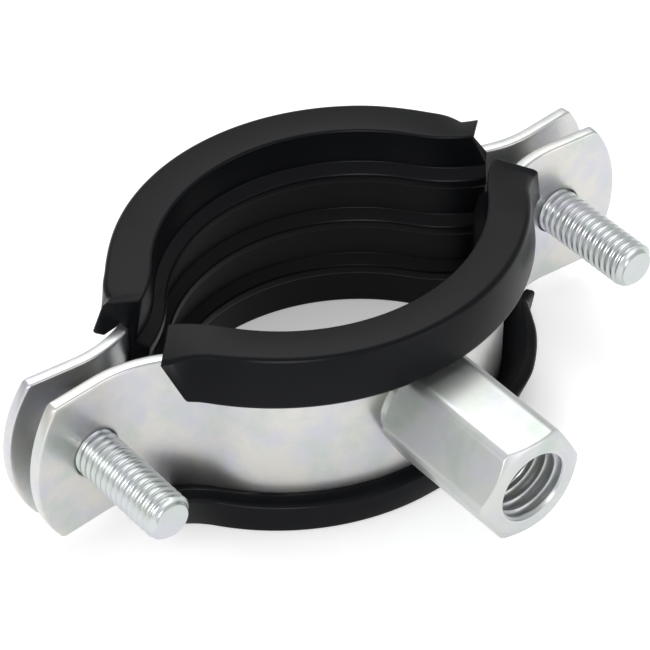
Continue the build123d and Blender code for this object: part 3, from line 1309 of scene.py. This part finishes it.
# ---------------------------------------------------------------- screws
@dataclass
class ClampScrew:
    """One machine screw: rolled thread, chamfered tip, round head with a combined drive.

    A cut of the drive has a width, a span and a depth.
    """

    side: Side
    axis_x: float = 34.95
    seat_y: float = 3.287
    length: float = 20.48
    in_head: float = 0.3
    crest: float = 2.94
    root: float = 2.56
    tip: tuple[float, float] = (2.2, 0.7)
    neck: tuple[float, float] = (2.6, 1.2)
    pitch: float = 1.0
    head_radius: float = 5.2
    head_height: float = 4.0
    head_round: float = 0.9
    slot: tuple[float, float, float] = (1.4, 20.8, 1.5)
    cross: tuple[float, float, float] = (1.1, 5.6, 2.4)
    taper: float = 0.8
    cutter_over: float = 1.0
    head_chamfer: float = 0.1
    axis_gap: float = 0.01
    crown_steps: int = 8
    head_steps: int = 72

    def build(self, name: str, thread: Tree, material: Material) -> Object:
        """Makes the screw.

        Args:
            name: The piece's name.
            thread: The tree that winds a thread.
            material: The screw's finish.

        Returns:
            The finished object.
        """
        screw = assembled(name, [self._shank(thread, material), self._head()], material, 35.0)
        screw.data.transform(Matrix.Translation((self.side.value * self.axis_x * MM, 0, 0)))
        return screw

    def _shank(self, tree: Tree, material: Material) -> Object:
        """The threaded shank from its tip to just inside the head."""
        thread = Thread(
            length=self.length + self.in_head,
            pitch=self.pitch,
            crest=self.crest,
            root=self.root,
            near=self.tip,
            far=self.neck,
            rows_a_turn=12,
            columns=65,
        )
        shank = thread.wind("shank", self.seat_y - self.length, tree, material)
        close_openings(shank.data)
        return shank

    def _head(self) -> Object:
        """The head, with a slot and a cross cut into its top."""
        seat, top = self.seat_y, self.seat_y + self.head_height
        rim = np.array([[self.head_radius, seat], [self.head_radius, top], [0, top]])
        crown = rounded_corner(*rim, self.head_round, self.crown_steps)
        profile = [(self.axis_gap, seat), (self.head_radius - self.head_chamfer, seat)]
        profile += [(self.head_radius, seat + self.head_chamfer), *map(tuple, crown)]
        profile.append((self.axis_gap, top))
        head = stacked("head", spun(profile, self.head_steps), capped=True)
        width, span, depth = self.cross
        for cut in (self.slot, self.cross, (span, width, depth)):
            carve(head, self._cutter(top, *cut))
        return head

    def _cutter(self, top: float, width: float, span: float, depth: float) -> Object:
        """A tapered block that is taken out of the head's top."""
        corners = []
        for y, share in ((top - depth, self.taper), (top + self.cutter_over, 1.0)):
            for x_sign, z_sign in ((-1, -1), (1, -1), (1, 1), (-1, 1)):
                corners.append((x_sign * width / 2 * share, y, z_sign * span / 2 * share))
        faces = [[0, 1, 2, 3], [4, 5, 6, 7], [0, 1, 5, 4], [1, 2, 6, 5], [2, 3, 7, 6], [3, 0, 4, 7]]
        return plain_object("drive cutter", np.array(corners), faces)


def carve(piece: Object, cutter: Object) -> None:
    """Takes a cutter's solid out of a piece and removes the cutter."""
    modifier = piece.modifiers.new("carve", "BOOLEAN")
    modifier.operation = "DIFFERENCE"
    modifier.solver = "EXACT"
    modifier.object = cutter
    piece.data = settled_mesh(piece)
    bpy.data.objects.remove(cutter)


# ---------------------------------------------------------------- studio
@dataclass(frozen=True)
class Softbox:
    """One square soft lamp that faces the object. Its place and size are in metres."""

    name: str
    place: tuple[float, float, float]
    size: float
    power: float

    def hang(self) -> None:
        """Adds the lamp to the scene."""
        data = bpy.data.lights.new(self.name, "AREA")
        data.shape = "SQUARE"
        data.size = self.size
        data.energy = self.power
        lamp = link_object(self.name, data)
        lamp.location = self.place
        lamp.rotation_euler = (-Vector(self.place)).to_track_quat("-Z", "Y").to_euler()


@dataclass(frozen=True)
class Studio:
    """A plain pale floor, soft light and the camera. Lengths are in millimetres."""

    azimuth: float = -38.596
    elevation: float = 40.997
    distance: float = 400.0
    shift_right: float = -0.864
    shift_up: float = 1.688
    forward: float = 0.8
    focal_pixels: float = 3357.5
    picture_pixels: float = 650.0
    sensor: float = 36.0
    floor_z: float = -13.52
    floor_half: float = 3000.0
    card: str = "#F4F4F4"
    card_glow: float = 0.35
    sky: float = 0.5
    mirrored_sky: float = 0.7
    lamps: tuple[Softbox, ...] = (
        Softbox("key softbox", (0.15, 0.3, 0.65), 0.55, 2.6),
        Softbox("fill softbox", (0.25, -0.64, 0.12), 0.4, 0.9),
        Softbox("side softbox", (-0.55, 0.05, 0.35), 0.35, 0.6),
        Softbox("catch light", (-0.38, -0.5, 0.36), 0.12, 1.8),
    )

    def build(self) -> None:
        """Makes the camera, the floor, the world and the lamps."""
        bpy.context.scene.view_settings.view_transform = "Standard"
        self._camera()
        self._floor()
        self._world()
        for lamp in self.lamps:
            lamp.hang()

    def _camera(self) -> None:
        """Places the camera with no roll and no shift."""
        a, e = math.radians(self.azimuth), math.radians(self.elevation)
        right = Vector((math.cos(a), math.sin(a), 0))
        up = Vector((-math.sin(a) * math.sin(e), math.cos(a) * math.sin(e), math.cos(e)))
        back = Vector((math.sin(a) * math.cos(e), -math.cos(a) * math.cos(e), math.sin(e)))
        place = back * self.distance - right * self.shift_right - up * self.shift_up
        place += Vector((0, self.forward, 0))
        data = bpy.data.cameras.new("camera")
        data.sensor_width = self.sensor
        data.lens = self.focal_pixels * self.sensor / self.picture_pixels
        data.clip_start, data.clip_end = 0.01, 10.0
        camera = link_object("camera", data)
        camera.location = place * MM
        camera.rotation_euler = (-back).to_track_quat("-Z", "Y").to_euler()
        bpy.context.scene.camera = camera

    def _floor(self) -> None:
        """Lays a wide white floor that keeps the object's shadow."""
        signs = ((-1, -1), (1, -1), (1, 1), (-1, 1))
        corners = [(x * self.floor_half, y * self.floor_half, self.floor_z) for x, y in signs]
        mesh = bpy.data.meshes.new("floor")
        mesh.from_pydata((np.array(corners) * MM).tolist(), [], [[0, 1, 2, 3]])
        floor = link_object("floor", mesh)
        made, tree, _ = material_tree("matt white card")
        card = add_node(tree, "ShaderNodeBsdfDiffuse", {"Color": linear(self.card)}).outputs[0]
        shine = {"Color": (1, 1, 1, 1), "Strength": self.card_glow}
        glow = add_node(tree, "ShaderNodeEmission", shine).outputs[0]
        lit = add_node(tree, "ShaderNodeAddShader", {0: card, 1: glow}).outputs[0]
        mixed = add_node(tree, "ShaderNodeMixShader", {0: seen(tree), 1: card, 2: lit})
        add_node(tree, "ShaderNodeOutputMaterial", {"Surface": mixed.outputs[0]})
        mesh.materials.append(made)

    def _world(self) -> None:
        """Surrounds the object with soft light and a white backdrop."""
        world = bpy.data.worlds.new("studio")
        world.use_nodes = True
        tree = world.node_tree
        tree.nodes.clear()
        rays = add_node(tree, "ShaderNodeLightPath").outputs
        shown = math_node(tree, "MULTIPLY_ADD", rays["Is Camera Ray"], 1.0 - self.sky, self.sky)
        extra = self.mirrored_sky - self.sky
        strength = math_node(tree, "MULTIPLY_ADD", rays["Is Glossy Ray"], extra, shown)
        light = {"Color": (1, 1, 1, 1), "Strength": strength}
        sky = add_node(tree, "ShaderNodeBackground", light).outputs[0]
        add_node(tree, "ShaderNodeOutputWorld", {"Surface": sky})
        bpy.context.scene.world = world


def seen(tree: Tree) -> Socket:
    """One where the camera, a reflection or glass looks, and nothing elsewhere."""
    rays = add_node(tree, "ShaderNodeLightPath").outputs
    either = math_node(tree, "MAXIMUM", rays["Is Camera Ray"], rays["Is Glossy Ray"])
    return math_node(tree, "MAXIMUM", either, rays["Is Transmission Ray"])


# ---------------------------------------------------------------- assembly
def fit(piece: Object, node: str, body: str) -> None:
    """Puts a finished piece in place of its node and reports it.

    Args:
        piece: The finished piece.
        node: The node that it replaces.
        body: The body that it rides on.
    """
    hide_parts(node)
    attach(piece, body)
    log.info("%s: %d faces on %s", piece.name, len(piece.data.polygons), body)


def linings(route: StripRoute) -> tuple[Lining, Lining]:
    """The front and the back lining, each with its own lie."""
    front = Settling(
        left_lip_slant=3.4,
        lower_right_slant=-0.2,
        lower_right_tuck=0.2,
        lower_right_curl=1.6,
        lower_rim_tuck=0.55,
        lower_fold=2.6,
    )
    back = Settling(
        droop_from=18.0,
        end_droop=0.7,
        end_tuck=1.3,
        waist_fill=0.6,
        left_extra=0.85,
        inner_extra=1.5,
    )
    return Lining(Half.FRONT, route, front), Lining(Half.BACK, route, back, rim_outer=3.5)


def main() -> None:
    """Builds, dresses and places every piece of the clamp."""
    logging.basicConfig(level=logging.INFO, format="%(message)s")
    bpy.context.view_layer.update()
    Studio().build()
    finishes = Finishes.make()
    route = StripRoute()
    bend, thread = bend_tree(), thread_tree()
    front = Band(Half.FRONT, route, hole_radius=3.02, collar_radius=3.9, collar_height=0.8)
    back = Band(Half.BACK, route)
    front_lining, back_lining = linings(route)
    strip, rubber = finishes.strip, finishes.rubber
    fit(front.build("front_band_strip", bend, strip), "front_band", "boss_half")
    fit(back.build("back_band_strip", bend, strip), "back_band", "loose_half")
    front_rubber = front_lining.build("front_rubber", bend, rubber)
    fit(front_rubber, "front_lining", "boss_half")
    back_rubber = back_lining.build("back_rubber", bend, rubber)
    fit(back_rubber, "back_lining", "loose_half")
    fit(BossNut().build("boss", thread, finishes.nut), "boss_nut", "boss_half")
    for side in Side:
        word = side.name.lower()
        screw = ClampScrew(side).build(f"screw_{word}", thread, finishes.screw)
        fit(screw, f"{word}_screw", f"{word}_screw_body")


if __name__ == "__main__":
    main()
